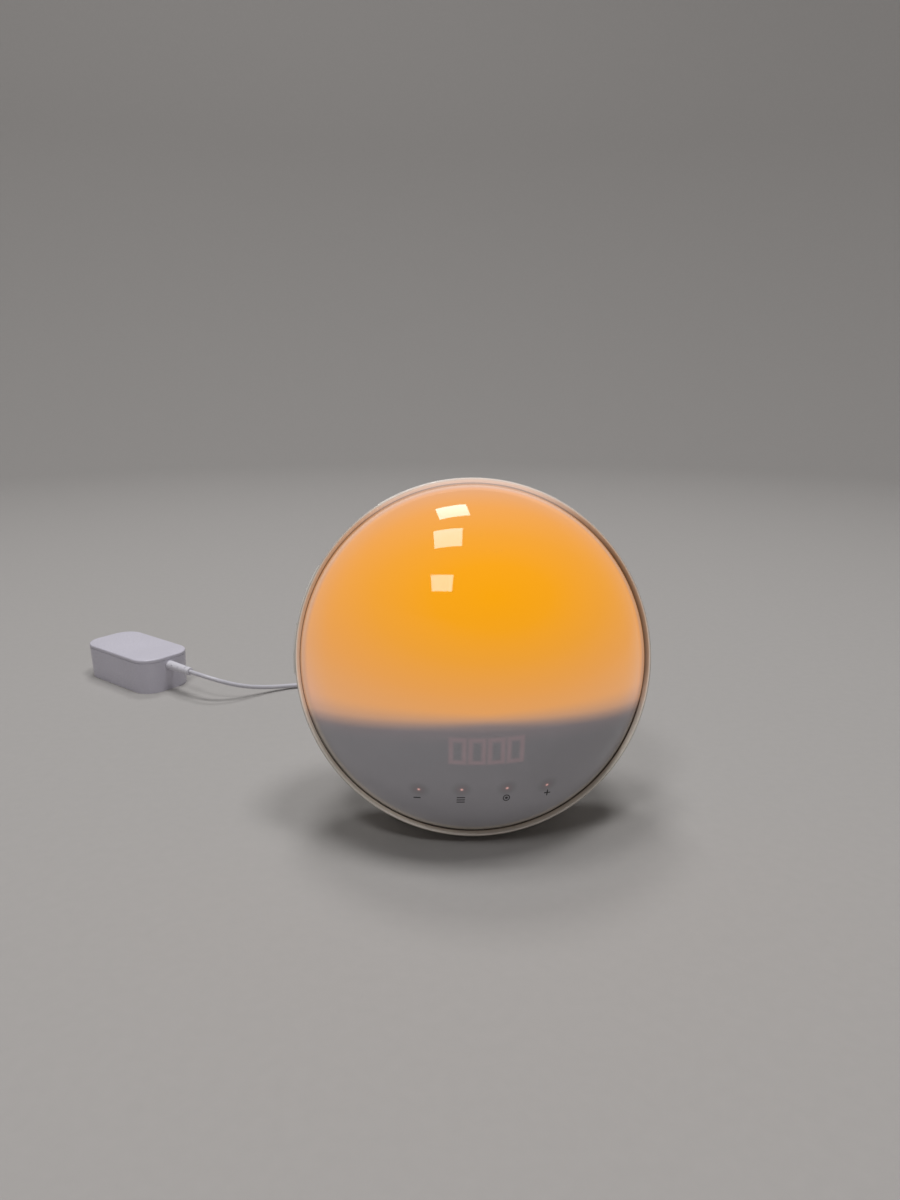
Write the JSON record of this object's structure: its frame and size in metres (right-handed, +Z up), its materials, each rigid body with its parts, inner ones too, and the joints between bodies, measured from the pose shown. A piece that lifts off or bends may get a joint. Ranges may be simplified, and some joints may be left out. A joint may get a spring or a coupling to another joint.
{
  "type": "sunrise alarm clock",
  "caption": "Round bedside alarm clock with a lit translucent dome front, a display and touch controls below, rim keys, an oval stand and a corded mains adapter.",
  "frame": {"origin": "on the table, under the middle of the clock's own box without its cord and adapter", "axes": "+Z up, the dial faces -Y leaning back, +X to the right of someone facing the dial"},
  "size_m": [0.3789, 0.331, 0.1836],
  "materials": {
    "opal": "satin",
    "housing_white": "satin",
    "ring_white": "gloss",
    "key_white": "satin",
    "reflector_white": "satin",
    "black_plastic": "matte",
    "black_rubber": "matte",
    "foam": "matte",
    "board_green": "satin",
    "lamp_board_white": "satin",
    "led": "gloss",
    "chip": "matte",
    "capacitor": "satin",
    "aluminium": "satin",
    "steel": "satin",
    "digit": "lit",
    "speaker_steel": "satin",
    "speaker_paper": "matte",
    "magnet": "matte",
    "nickel": "gloss",
    "cord_white": "satin",
    "adapter_white": "satin"
  },
  "bodies": {
    "clock": {"front_dome": "opal", "bezel_ring": "ring_white", "rear_housing": "housing_white", "foot_plate": "housing_white", "rubber_feet": "black_rubber", "foot_screws": "steel", "case_screws": "steel", "reflector": "reflector_white", "light_divider": "reflector_white", "divider_gasket": "foam", "lamp_board": "lamp_board_white", "lamp_leds": "led", "heat_sink": "aluminium", "display_tray": "black_plastic", "control_board": "board_green", "display_module": "black_plastic", "display_digits": "digit", "touch_pads": "foam", "touch_leds": "led", "main_board": "board_green", "board_chips": "chip", "board_capacitors": "capacitor", "board_screws": "steel", "dc_socket": "black_plastic", "speaker_gasket": "foam", "speaker_frame": "speaker_steel", "speaker_cone": "speaker_paper", "speaker_magnet": "magnet", "switch_boards": "board_green", "key_switches": "chip", "antenna_gland": "black_rubber"},
    "alarm_one": {"alarm_one_key": "key_white"},
    "alarm_two": {"alarm_two_key": "key_white"},
    "light": {"light_key": "key_white"},
    "sound": {"sound_key": "key_white"},
    "snooze": {"snooze_bar": "key_white"},
    "supply": {"dc_plug": "adapter_white", "plug_tip": "nickel", "cord_near": "cord_white", "cord_coil": "cord_white", "cord_far": "cord_white", "cord_tie": "cord_white", "adapter_case": "adapter_white", "adapter_cover": "adapter_white", "adapter_strain_relief": "adapter_white", "adapter_board": "board_green", "adapter_components": "chip"},
    "blades": {"adapter_blades": "nickel", "blade_shaft": "black_plastic"}
  },
  "joints": [
    {"name": "alarm_one_press", "type": "slide", "parent": "clock", "child": "alarm_one", "axis": [0.9205, -0.1233, -0.3708], "range_m": [0, 0.0008], "stiffness_N_per_m": 800, "springref_m": -0.0005},
    {"name": "alarm_two_press", "type": "slide", "parent": "clock", "child": "alarm_two", "axis": [0.9981, -0.0193, -0.0579], "range_m": [0, 0.0008], "stiffness_N_per_m": 800, "springref_m": -0.0005},
    {"name": "light_press", "type": "slide", "parent": "clock", "child": "light", "axis": [-0.9205, -0.1233, -0.3708], "range_m": [0, 0.0008], "stiffness_N_per_m": 800, "springref_m": -0.0005},
    {"name": "sound_press", "type": "slide", "parent": "clock", "child": "sound", "axis": [-0.9981, -0.0193, -0.0579], "range_m": [0, 0.0008], "stiffness_N_per_m": 800, "springref_m": -0.0005},
    {"name": "snooze_press", "type": "slide", "parent": "clock", "child": "snooze", "axis": [0, -0.3156, -0.9489], "range_m": [0, 0.0008], "stiffness_N_per_m": 800, "springref_m": -0.0005},
    {"name": "plug_pull", "type": "slide", "parent": "clock", "child": "supply", "axis": [0, 1, 0], "range_m": [0, 0.014]},
    {"name": "blade_fold", "type": "hinge", "parent": "supply", "child": "blades", "pos_m": [-0.24902, 0.22731, 0.00358], "axis": [-0.7431, 0.6691, 0], "range_deg": [0, 90]}
  ]
}
